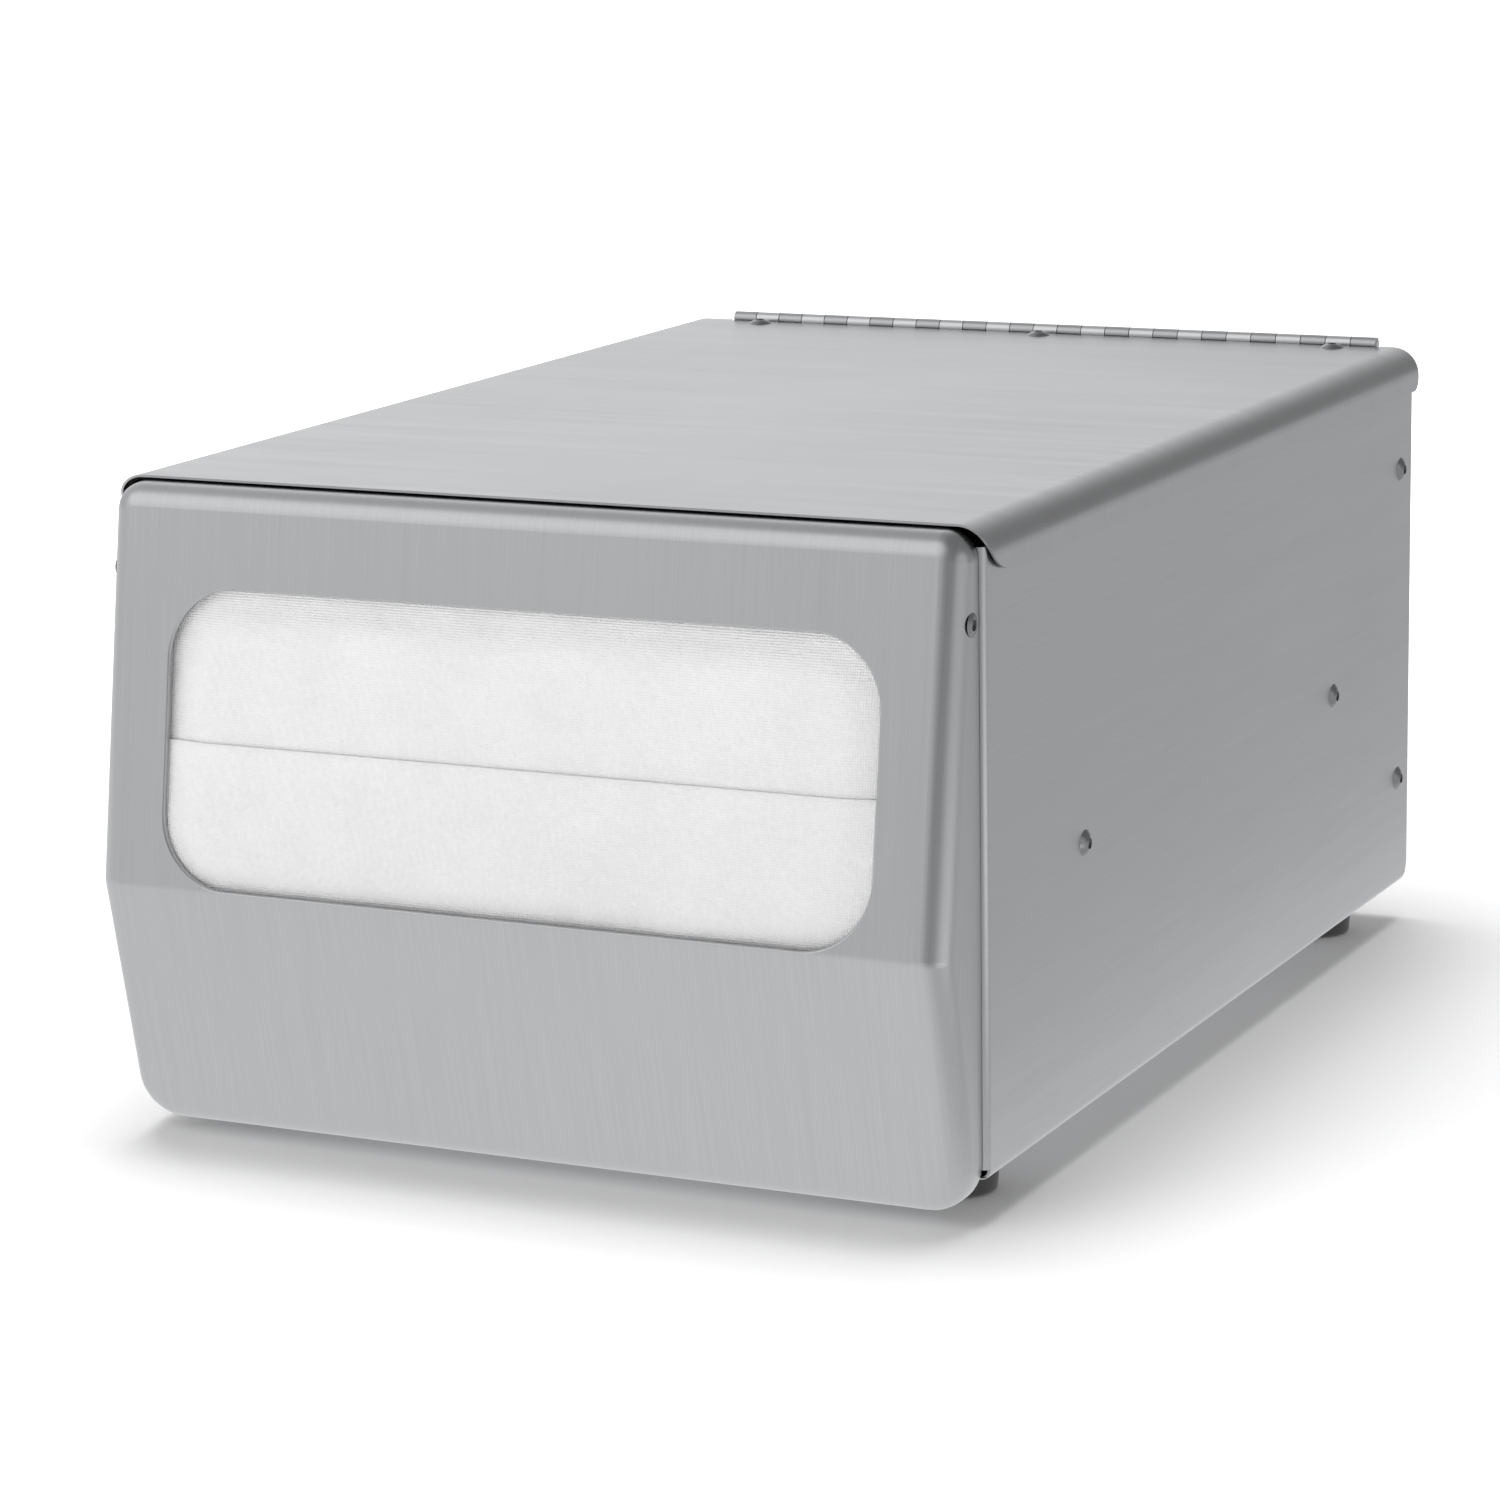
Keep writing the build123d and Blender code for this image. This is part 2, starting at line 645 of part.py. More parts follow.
def make_bracket_rivets():
    """Two small rivets, heads to the rear so that the pusher's front stays nearly flat."""
    seat = pusher_at_rest + pusher_sheet + bracket_sheet
    rivet = dome_rivet(pusher_sheet + bracket_sheet, small_shank, small_head, small_head_height,
                       small_head, stack_gap / 2)
    return [Pos(x, seat, z) * Rot(-90, 0, 0) * rivet for x, z in bracket_rivet_places()]


def make_spool():
    """The spool inside the coil, with a rim at each end."""
    hub_half = coil_width / 2 + spool_rim_gap
    spool = rod_x(-hub_half, hub_half, coil_y, coil_z, coil_inner - spool_rim_gap / 2)
    for x0, x1 in ((-hub_half - spool_rim_width, -hub_half), (hub_half, hub_half + spool_rim_width)):
        spool += rod_x(x0, x1, coil_y, coil_z, spool_rim)
    return spool - rod_x(-hub_half * 2, hub_half * 2, coil_y, coil_z, axle_radius + axle_clearance)


def make_coil():
    """The wound part of the constant-force spring."""
    half = coil_width / 2
    coil = rod_x(-half, half, coil_y, coil_z, coil_radius)
    return coil - rod_x(-half - 1, half + 1, coil_y, coil_z, coil_inner)


def clip_x():
    """The inner face of the right axle clip."""
    return bracket_inner() + bracket_sheet + axle_clearance * 2


def make_axle():
    """The spool's axle, grooved for a clip at each end."""
    end = clip_x() + clip_thickness + axle_end
    axle = rod_x(-end, end, coil_y, coil_z, axle_radius)
    groove = rod_x(clip_x(), clip_x() + clip_thickness, coil_y, coil_z, axle_radius + 1)
    groove -= rod_x(clip_x() - 1, clip_x() + clip_thickness + 1, coil_y, coil_z, axle_radius - clip_groove)
    for piece in both_sides(groove):
        axle -= piece
    return axle


def make_axle_clip():
    """The right retaining clip: a ring with a mouth."""
    x0, x1 = clip_x() + axle_clearance, clip_x() + clip_thickness - axle_clearance
    clip = rod_x(x0, x1, coil_y, coil_z, clip_radius)
    clip -= rod_x(x0 - 1, x1 + 1, coil_y, coil_z, axle_radius - clip_groove + axle_clearance)
    mouth = axle_radius - clip_groove
    return clip - block(x0 - 1, x1 + 1, coil_y - mouth, coil_y + mouth, coil_z, coil_z + clip_radius + 1)


def make_spring_strip():
    """The flat run of the spring, from its anchor near the front to under the coil."""
    half = coil_width / 2
    front = anchor_from_front - anchor_head - 1.5
    strip = block(-half, half, front, coil_y, strip_bottom, strip_top)
    return strip - rod_z(0, anchor_from_front, 0, strip_top + 1, small_hole)


def make_anchor_rivet():
    """The rivet that holds the strip to the floor."""
    rivet = rod_z(0, anchor_from_front, strip_top, strip_top + anchor_head_height, anchor_head)
    rivet += rod_z(0, anchor_from_front, 0, strip_top, small_shank)
    return rivet + rod_z(0, anchor_from_front, -small_head_height, 0, small_head)


# ---- Napkins ----
def make_napkin_stack():
    """The stack on edge between the face and the pusher."""
    inset = napkin_inset + 2 * ply + stack_gap
    rear = pusher_at_rest - stack_gap
    points = [(rear, napkin_top)] + front_points(inset, napkin_bottom, napkin_top) + [(rear, napkin_bottom)]
    return across(side_profile(points), napkin_width / 2)


def make_front_napkin():
    """The napkin in the window: a full panel with a folded flap in front of its lower part."""
    front = front_points(napkin_inset, napkin_bottom, front_napkin_flap)
    middle = [(front_y(z, napkin_inset + ply), z) for z in (napkin_top, front_napkin_flap)]
    back = front_points(napkin_inset + 2 * ply, napkin_bottom, napkin_top)[::-1]
    return across(side_profile(middle + front + back), napkin_width / 2)


# ---- Feet ----
def make_foot(x, y):
    """A tapered rubber foot with a recess for its fixing."""
    foot = Cone(foot_radius, foot_radius - foot_taper, foot_height)
    foot = Pos(x, y, -foot_height / 2) * Rot(180, 0, 0) * foot
    foot = fillet(foot.edges().sort_by(Axis.Z)[0], foot_edge)
    foot -= rod_z(x, y, -foot_height - 1, -foot_height + foot_recess_depth, foot_recess)
    return foot - rod_z(x, y, -foot_height, 1, foot_bore)


def make_foot_rivet(x, y):
    """A flat-headed rivet from inside the floor into the foot's recess."""
    ceiling = -foot_height + foot_recess_depth
    low = ceiling - foot_washer_thickness
    rivet = rod_z(x, y, sheet, sheet + foot_rivet_head_height, foot_rivet_head)
    rivet += rod_z(x, y, low, sheet, foot_rivet_shank)
    return rivet + rod_z(x, y, low - foot_rivet_tail_height, low, foot_rivet_tail)


def make_foot_washer(x, y):
    """The washer between the foot's recess and the rivet's tail."""
    ceiling = -foot_height + foot_recess_depth
    washer = rod_z(x, y, ceiling - foot_washer_thickness, ceiling, foot_washer)
    return washer - rod_z(x, y, ceiling - 2, ceiling + 1, foot_bore)


def main():
    """Build every piece and write it."""
    os.makedirs("parts", exist_ok=True)
    place("body_shell", [make_body_shell()])
    place("back_panel", [make_back_panel()])
    place("faceplate", [make_faceplate()])
    place("lid", [make_lid()])
    place("hinge_leaf_lid", [make_hinge_leaf_lid()])
    place("hinge_leaf_body", [make_hinge_leaf_body()])
    place("hinge_pin", [make_hinge_pin()])
    lid_set, body_set = make_hinge_rivets()
    place("lid_hinge_rivets", lid_set)
    place("body_hinge_rivets", body_set)

    rail_y = (rail_rivet_front, body_depth - rail_rivet_rear)
    rail_set = [side_rivet(y, rail_middle, half_width, 2 * sheet) for y in rail_y]
    place("rail_rivets", [piece for one in rail_set for piece in both_sides(one)])
    back_z = (back_rivet_low, wall_top - back_rivet_from_top)
    back_y = body_depth - back_rivet_inset
    back_set = [side_rivet(back_y, z, half_width, 2 * sheet + pan_fit) for z in back_z]
    place("back_panel_rivets", [piece for one in back_set for piece in both_sides(one)])
    face_rivet = dome_rivet(2 * sheet + ear_gap(), rivet_shank, face_rivet_head, face_rivet_head_height,
                            rivet_tail, rivet_tail_height)
    face_rivet = Pos(face_half, -face_rivet_out, face_rivet_z) * Rot(0, 90, 0) * face_rivet
    place("faceplate_rivets", both_sides(face_rivet))

    for name, solid in zip(("guide_rail_right", "guide_rail_left"), both_sides(make_rail())):
        place(name, [solid])
    place("pusher_plate", [make_pusher_plate()])
    for name, solid in zip(("guide_shoe_right", "guide_shoe_left"), both_sides(make_shoe())):
        place(name, [solid])
    place("guide_shoe_rivets", make_shoe_rivets())
    place("spring_bracket", [make_spring_bracket()])
    place("spring_bracket_rivets", make_bracket_rivets())
    place("spring_spool", [make_spool()])
    place("spring_coil", [make_coil()])
    place("spool_axle", [make_axle()])
    place("axle_clips", both_sides(make_axle_clip()))
    place("spring_strip", [make_spring_strip()])
    place("strip_anchor_rivet", [make_anchor_rivet()])

    place("napkin_stack", [make_napkin_stack()])
    place("front_napkin", [make_front_napkin()])
    for name, x, y in foot_places():
        place(f"foot_{name}", [make_foot(x, y)])
    place("foot_rivets", [make_foot_rivet(x, y) for _, x, y in foot_places()])
    place("foot_washers", [make_foot_washer(x, y) for _, x, y in foot_places()])


main()
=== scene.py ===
"""Looks for the countertop napkin dispenser: brushed steel, folded tissue, rubber, light and camera."""
import math
import random

import bpy
from mathutils import Matrix, Vector, noise


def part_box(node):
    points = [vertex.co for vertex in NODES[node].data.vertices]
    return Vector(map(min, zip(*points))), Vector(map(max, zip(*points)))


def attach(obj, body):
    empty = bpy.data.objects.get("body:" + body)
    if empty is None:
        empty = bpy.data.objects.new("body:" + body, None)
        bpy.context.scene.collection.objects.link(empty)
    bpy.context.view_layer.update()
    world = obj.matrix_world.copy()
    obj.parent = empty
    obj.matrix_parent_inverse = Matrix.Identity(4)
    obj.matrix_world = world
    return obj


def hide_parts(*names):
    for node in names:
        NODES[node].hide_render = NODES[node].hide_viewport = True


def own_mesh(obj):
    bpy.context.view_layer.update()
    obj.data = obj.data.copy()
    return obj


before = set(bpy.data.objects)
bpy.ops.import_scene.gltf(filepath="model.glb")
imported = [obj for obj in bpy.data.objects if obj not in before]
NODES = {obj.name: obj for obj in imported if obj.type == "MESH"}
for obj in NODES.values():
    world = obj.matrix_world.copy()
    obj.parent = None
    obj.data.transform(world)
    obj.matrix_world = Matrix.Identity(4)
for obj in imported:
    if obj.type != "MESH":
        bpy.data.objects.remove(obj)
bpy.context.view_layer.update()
MM = 0.001

# ---- Places in the row frame, in millimetres ----
LIP_DROP = 5.0                             # the floor's front lip, below its underside
ROUND_KNEE_OUT = 18.635                    # the rounded knee in front of the side walls
FLOOR_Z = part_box("body_shell")[0].z / MM + LIP_DROP
WALL_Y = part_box("faceplate")[0].y / MM + ROUND_KNEE_OUT

# the face's outer planes, from the side walls' front edge and the floor's underside
KNEE_OUT, KNEE_Z = 18.7, 48.0
FACE_TOP_OUT, FACE_TOP_Z = 6.5, 130.2
FACE_BOTTOM_OUT, FACE_BOTTOM_Z = 6.8, -6.0
UPPER_SLOPE = (KNEE_OUT - FACE_TOP_OUT) / (FACE_TOP_Z - KNEE_Z)
LOWER_SLOPE = (KNEE_OUT - FACE_BOTTOM_OUT) / (KNEE_Z - FACE_BOTTOM_Z)
KNEE_SOFTNESS = 1.2


def front_y(z, inset):
    """Face's front at height z above the floor's underside, moved in by inset."""
    upper = -KNEE_OUT + (z - KNEE_Z) * UPPER_SLOPE + inset * math.hypot(1, UPPER_SLOPE)
    lower = -KNEE_OUT + (KNEE_Z - z) * LOWER_SLOPE + inset * math.hypot(1, LOWER_SLOPE)
    return KNEE_SOFTNESS * math.log(math.exp(upper / KNEE_SOFTNESS) + math.exp(lower / KNEE_SOFTNESS))


def to_row(x, y, z):
    """From the face's own measures, in mm, to the row frame in metres."""
    return Vector((x, y + WALL_Y, z + FLOOR_Z)) * MM


# ---- Node helpers ----
class Shader:
    """A material with small helpers for its node tree."""

    def __init__(self, name):
        self.mat = bpy.data.materials.new(name)
        self.mat.use_nodes = True
        self.tree = self.mat.node_tree
        self.tree.nodes.clear()
        self.out = self.add("ShaderNodeOutputMaterial")
        self.bsdf = self.add("ShaderNodeBsdfPrincipled")
        self.link(self.bsdf.outputs[0], self.out.inputs[0])
        self.coord = self.add("ShaderNodeTexCoord").outputs["Object"]

    def add(self, kind, **props):
        node = self.tree.nodes.new(kind)
        for key, value in props.items():
            setattr(node, key, value)
        return node

    def link(self, a, b):
        self.tree.links.new(a, b)

    def put(self, socket, value):
        if isinstance(value, bpy.types.NodeSocket):
            self.link(value, socket)
        else:
            socket.default_value = value

    def math(self, op, a, b=0.0):
        node = self.add("ShaderNodeMath", operation=op)
        self.put(node.inputs[0], a)
        self.put(node.inputs[1], b)
        return node.outputs[0]

    def xyz(self, vector=None):
        node = self.add("ShaderNodeSeparateXYZ")
        self.link(vector or self.coord, node.inputs[0])
        return node.outputs

    def vector(self, x, y, z=0.0):
        node = self.add("ShaderNodeCombineXYZ")
        for socket, value in zip(node.inputs, (x, y, z)):
            self.put(socket, value)
        return node.outputs[0]

    def noise(self, vector, scale=1.0, detail=2.0, rough=0.5):
        node = self.add("ShaderNodeTexNoise")
        self.link(vector, node.inputs["Vector"])
        node.inputs["Scale"].default_value = scale
        node.inputs["Detail"].default_value = detail
        node.inputs["Roughness"].default_value = rough
        return node.outputs["Fac"]

    def remap(self, value, a, b, lo=0.0, hi=1.0):
        node = self.add("ShaderNodeMapRange")
        self.link(value, node.inputs["Value"])
        for key, v in (("From Min", lo), ("From Max", hi), ("To Min", a), ("To Max", b)):
            node.inputs[key].default_value = v
        return node.outputs[0]

    def ramp(self, value, stops):
        node = self.add("ShaderNodeValToRGB")
        self.link(value, node.inputs[0])
        ramp = node.color_ramp
        while len(ramp.elements) < len(stops):
            ramp.elements.new(0.5)
        for e, (at, color) in zip(ramp.elements, stops):
            e.position = at
            e.color = (*color, 1)
        return node.outputs[0]

    def bump(self, height, strength, distance):
        node = self.add("ShaderNodeBump")
        node.inputs["Strength"].default_value = strength
        node.inputs["Distance"].default_value = distance
        self.link(height, node.inputs["Height"])
        return node.outputs[0]

    def color(self, tone, tint):
        """A grey tone, tinted."""
        node = self.add("ShaderNodeCombineColor")
        for socket, share in zip(node.inputs, tint):
            self.link(self.math("MULTIPLY", tone, share), socket)
        return node.outputs[0]


def axis_sum(s, parts, axes):
    """The sum of some of X, Y and Z."""
    total = parts["XYZ".index(axes[0])]
    for a in axes[1:]:
        total = s.math("ADD", total, parts["XYZ".index(a)])
    return total


STEEL_TINT = (0.984, 0.998, 1.018)


def brushed(name, shade, rough, along, across, flank=None, grain=1.0):
    """Brushed stainless: fine grain along one direction, faint marks and uneven gloss.
    flank is the across axis on faces that look along X."""
    s = Shader(name)
    parts = s.xyz()
    run = axis_sum(s, parts, along)
    side = axis_sum(s, parts, across)
    if flank:
        normal = s.add("ShaderNodeNewGeometry").outputs["Normal"]
        turn = s.math("ABSOLUTE", s.xyz(normal)[0])
        turn = s.remap(turn, 0.0, 1.0, 0.6, 0.75)
        other = s.math("MULTIPLY", axis_sum(s, parts, flank), turn)
        keep = s.math("MULTIPLY", side, s.math("SUBTRACT", 1.0, turn))
        side = s.math("ADD", other, keep)
    fine = s.noise(s.vector(s.math("MULTIPLY", run, 25.0), s.math("MULTIPLY", side, 2600.0)), 1.0, 2.0)
    wide = s.noise(s.vector(s.math("MULTIPLY", run, 7.0), s.math("MULTIPLY", side, 260.0)), 1.0, 3.0)
    blotch = s.noise(s.coord, 11.0, 4.0)
    mark = s.noise(s.vector(s.math("MULTIPLY", run, 60.0), s.math("MULTIPLY", side, 4200.0)), 1.0, 0.0)
    mix = s.math("ADD", s.math("MULTIPLY", fine, 0.6), s.math("MULTIPLY", wide, 0.4))
    tone = s.remap(mix, shade - 0.022 * grain, shade + 0.022 * grain, 0.3, 0.7)
    tone = s.math("ADD", tone, s.remap(blotch, -0.006, 0.006, 0.3, 0.7))
    s.link(s.color(tone, STEEL_TINT), s.bsdf.inputs["Base Color"])
    s.bsdf.inputs["Metallic"].default_value = 1.0
    gloss = s.remap(wide, rough - 0.03, rough + 0.03, 0.3, 0.7)
    gloss = s.math("ADD", gloss, s.remap(blotch, -0.02, 0.02, 0.3, 0.7))
    gloss = s.math("ADD", gloss, s.remap(mark, 0.0, 0.05, 0.66, 0.8))
    s.link(gloss, s.bsdf.inputs["Roughness"])
    s.link(s.bump(mix, 0.18 * grain, 0.00006), s.bsdf.inputs["Normal"])
    return s.mat


EMBOSS_PERIOD = 1.06 * MM                   # in x + z and in x - z: rows 0.75 mm apart
TISSUE_TINT = (1.0, 0.998, 0.996)


def paper(name):
    """White two-ply tissue with an embossed diagonal dot pattern and loose fibres."""
    s = Shader(name)
    parts = s.xyz()
    # diagonal emboss in the plane of the sheet
    u = s.math("ADD", parts[0], parts[2])
    v = s.math("SUBTRACT", parts[0], parts[2])
    k = 2 * math.pi / EMBOSS_PERIOD
    dots = s.math("MULTIPLY", s.math("SINE", s.math("MULTIPLY", u, k)),
                  s.math("SINE", s.math("MULTIPLY", v, k)))
    fibre = s.noise(s.coord, 900.0, 3.0, 0.6)
    cloud = s.noise(s.coord, 60.0, 3.0, 0.55)
    fluff = s.noise(s.coord, 1500.0, 2.0, 0.6)
    height = s.math("ADD", s.math("MULTIPLY", dots, 0.28), s.math("MULTIPLY", fibre, 0.8))
    height = s.math("ADD", height, s.math("MULTIPLY", fluff, 0.5))
    height = s.math("ADD", height, s.math("MULTIPLY", cloud, 0.5))
    tone = s.math("ADD", s.remap(fibre, -0.02, 0.02, 0.3, 0.7), s.remap(cloud, 0.875, 0.915, 0.3, 0.7))
    # The emboss dots' raised parts a touch lighter and their hollows a touch darker: painted shade of the
    # relief.
    tone = s.math("ADD", tone, s.math("MULTIPLY", dots, 0.01))
    s.link(s.color(tone, TISSUE_TINT), s.bsdf.inputs["Base Color"])
    s.link(s.remap(fibre, 0.85, 1.0), s.bsdf.inputs["Roughness"])
    s.bsdf.inputs["Specular IOR Level"].default_value = 0.15
    s.bsdf.inputs["Sheen Weight"].default_value = 0.15
    s.bsdf.inputs["Subsurface Weight"].default_value = 0.15
    s.bsdf.inputs["Subsurface Radius"].default_value = (0.004, 0.0038, 0.0035)
    s.bsdf.inputs["Subsurface Scale"].default_value = 0.5
    s.link(s.bump(height, 0.8, 0.0003), s.bsdf.inputs["Normal"])
    return s.mat


def moulded(name, color, rough, speck=0.03):
    """Moulded rubber or plastic with a fine matt texture and light scuffs."""
    s = Shader(name)
    fine = s.noise(s.coord, 1400.0, 3.0, 0.6)
    scuff = s.noise(s.coord, 160.0, 4.0, 0.6)
    dark = tuple(max(0.0, c - speck * (0.3 + c)) for c in color)
    light = tuple(c + speck * (0.5 + c) for c in color)
    s.link(s.ramp(scuff, [(0.35, dark), (0.75, light)]), s.bsdf.inputs["Base Color"])
    s.link(s.remap(scuff, rough - 0.08, rough + 0.08, 0.3, 0.7), s.bsdf.inputs["Roughness"])
    s.link(s.bump(fine, 0.15, 0.0001), s.bsdf.inputs["Normal"])
    return s.mat


def set_material(names, mat):
    """Gives CAD nodes their material."""
    for name in names:
        data = NODES[name].data
        data.materials.clear()
        data.materials.append(mat)


# ---- Materials ----
STEEL = 0.47
set_material(["body_shell"], brushed("housing_brushed", STEEL, 0.34, "Y", "XZ"))
set_material(["lid"], brushed("lid_brushed", STEEL, 0.36, "XZ", "Y"))
set_material(["faceplate"], brushed("face_brushed", STEEL, 0.34, "Z", "X", flank="Y"))
set_material(["back_panel"], brushed("pan_brushed", STEEL, 0.34, "XY", "Z"))
set_material(["pusher_plate"], brushed("pusher_brushed", 0.5, 0.36, "Z", "X", flank="Y"))
set_material(["guide_rail_left", "guide_rail_right"], brushed("rail_brushed", 0.5, 0.32, "Y", "Z"))
set_material(["spring_bracket", "spool_axle", "foot_washers"],
             brushed("plated_steel", 0.55, 0.28, "X", "YZ", grain=0.5))
# The body leaf and pin take a lighter shade of the steel and the lid leaf a darker copy of the same
# steel: painted light and painted shade for the knuckles' alternating bright and dim look.
set_material(["hinge_leaf_body", "hinge_pin"], brushed("hinge_painted_bright", 0.58, 0.32, "X", "YZ", grain=0.6))
set_material(["hinge_leaf_lid"], brushed("hinge_painted_dim", 0.46, 0.38, "X", "YZ", grain=0.6))
# Rivets take a darker steel tone than the sheet around them: painted shade for the dark shading on their
# domed heads.
set_material(["lid_hinge_rivets", "body_hinge_rivets", "rail_rivets", "back_panel_rivets",
              "faceplate_rivets", "guide_shoe_rivets", "spring_bracket_rivets",
              "strip_anchor_rivet", "foot_rivets"],
             brushed("rivet_steel", 0.3, 0.26, "X", "YZ", grain=0.3))
set_material(["spring_coil", "axle_clips"], brushed("spring_steel", 0.34, 0.26, "Y", "X", grain=0.8))
set_material(["guide_shoe_left", "guide_shoe_right"], moulded("shoe_plastic", (0.03, 0.03, 0.033), 0.5))
set_material(["spring_spool"], moulded("spool_plastic", (0.62, 0.61, 0.57), 0.45, 0.02))
set_material([n for n in NODES if n.startswith("foot_") and n[5:] not in ("rivets", "washers")],
             moulded("foot_rubber", (0.055, 0.055, 0.058), 0.62))
TISSUE = paper("napkin_tissue")


# ---- Soft pieces ----
def new_piece(name, verts, faces, mat, smooth=True):
    """A mesh object in the scene, with its material."""
    mesh = bpy.data.meshes.new(name)
    mesh.from_pydata([tuple(v) for v in verts], [], faces)
    mesh.validate()
    obj = bpy.data.objects.new(name, mesh)
    bpy.context.scene.collection.objects.link(obj)
    mesh.materials.append(mat)
    if smooth:
        mesh.polygons.foreach_set("use_smooth", [True] * len(mesh.polygons))
    return obj


NAPKIN_HALF = 82.5
NAPKIN_LOW, NAPKIN_HIGH = 1.5, 113.5
NAPKIN_INSET = 1.4                         # behind the window's lip
FLAP_TOP = 78.3
PLY = 0.7                                  # one folded panel
PLY_SHEET = 0.08
LAYER_GAP = 0.12                           # between the two layers of a panel
BULGE, BULGE_REACH = 1.3, 9.0              # how far the tissue swells into the window
LEAVES = 118
STACK_GAP = 0.2                            # behind the napkin in the window
WINDOW_LOW, WINDOW_HIGH, WINDOW_HALF, WINDOW_CORNER = 48.4, 109.9, 80.0, 15.0


def window_depth(x, z):
    """How far a point is inside the window's outline, in mm; negative outside it."""
    mid, half_z = (WINDOW_LOW + WINDOW_HIGH) / 2, (WINDOW_HIGH - WINDOW_LOW) / 2
    qx = abs(x) - (WINDOW_HALF - WINDOW_CORNER)
    qz = abs(z - mid) - (half_z - WINDOW_CORNER)
    outside = math.hypot(max(qx, 0), max(qz, 0)) + min(max(qx, qz), 0)
    return WINDOW_CORNER - outside


def bulge(x, z):
    """How far the tissue swells into the window, in mm."""
    t = min(max(window_depth(x, z) / BULGE_REACH, 0.0), 1.0)
    return BULGE * t * t * (3 - 2 * t)


def crumple(x, z, seed):
    """Soft hand-made unevenness of a tissue's surface, in mm."""
    p = Vector((x * 0.035, z * 0.06, seed))
    q = Vector((x * 0.12, z * 0.16, seed + 5))
    return 0.34 * noise.noise(p) + 0.2 * noise.noise(q)


def ribbon_points(step):
    """The napkin's folded path in the YZ plane: (z, inset from the face) from the top of the
    rear panel, round the bottom fold, up the flap and back down inside it."""
    path = []
    rear, flap = NAPKIN_INSET + 2 * PLY - 0.35, NAPKIN_INSET + 0.15
    inner = NAPKIN_INSET + PLY - 0.15

    def run(z0, z1, i0, i1):
        count = max(2, int(abs(z1 - z0) / step))
        for k in range(count):
            t = k / count
            path.append((z0 + (z1 - z0) * t, i0 + (i1 - i0) * t))

    run(NAPKIN_HIGH, NAPKIN_LOW + 0.4, rear, rear)
    for k in range(1, 6):
        a = math.pi * k / 6
        mid, r = (rear + flap) / 2, (rear - flap) / 2
        path.append((NAPKIN_LOW + 0.4 - 0.4 * math.sin(a), mid + r * math.cos(a)))
    run(NAPKIN_LOW + 0.4, FLAP_TOP - 0.3, flap, flap)
    for k in range(1, 5):
        a = math.pi * k / 5
        mid, r = (flap + inner) / 2, (inner - flap) / 2
        path.append((FLAP_TOP - 0.3 + 0.3 * math.sin(a), mid - r * math.cos(a)))
    run(FLAP_TOP - 0.3, NAPKIN_LOW + 1.2, inner, inner)
    return path


def front_napkin():
    """The napkin in the window, cut 330 mm wide, folded in half and then round its flap."""
    path = ribbon_points(1.6)
    columns = 110
    verts, faces = [], []
    widths = [(NAPKIN_HALF - 2 * NAPKIN_HALF * k / columns, 0.0) for k in range(columns + 1)]
    widths += [(-x, LAYER_GAP) for x, _ in widths]
    for i, (z, inset) in enumerate(path):
        for x, deeper in widths:
            push = bulge(x, z) + crumple(x, z, 3.1)
            y = front_y(z, inset + deeper) - push
            verts.append(to_row(x, y, z))
    cols = len(widths)
    for i in range(len(path) - 1):
        for j in range(cols - 1):
            a = i * cols + j
            faces.append((a, a + 1, a + cols + 1, a + cols))
    obj = new_piece("front_tissue", verts, faces, TISSUE)
    solid = obj.modifiers.new("ply", "SOLIDIFY")
    solid.thickness = PLY_SHEET * MM
    solid.offset = 0
    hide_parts("front_napkin")
    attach(obj, "housing")


def leaf_ring(low, top):
    """One folded napkin's outline, as (z, share of its thickness): up its front, over its
    rounded top, down its rear and under its rounded bottom."""
    body = [low + 1.0 + (top - low - 2.2) * k / 9 for k in range(10)]
    ring = [(z, 0.0) for z in body]
    ring += [(top - 0.5, 0.16), (top - 0.06, 0.38), (top, 0.5), (top - 0.06, 0.62), (top - 0.5, 0.84)]
    ring += [(z, 1.0) for z in reversed(body)]
    ring += [(low + 0.4, 0.85), (low, 0.6), (low, 0.4), (low + 0.4, 0.15)]
    return ring


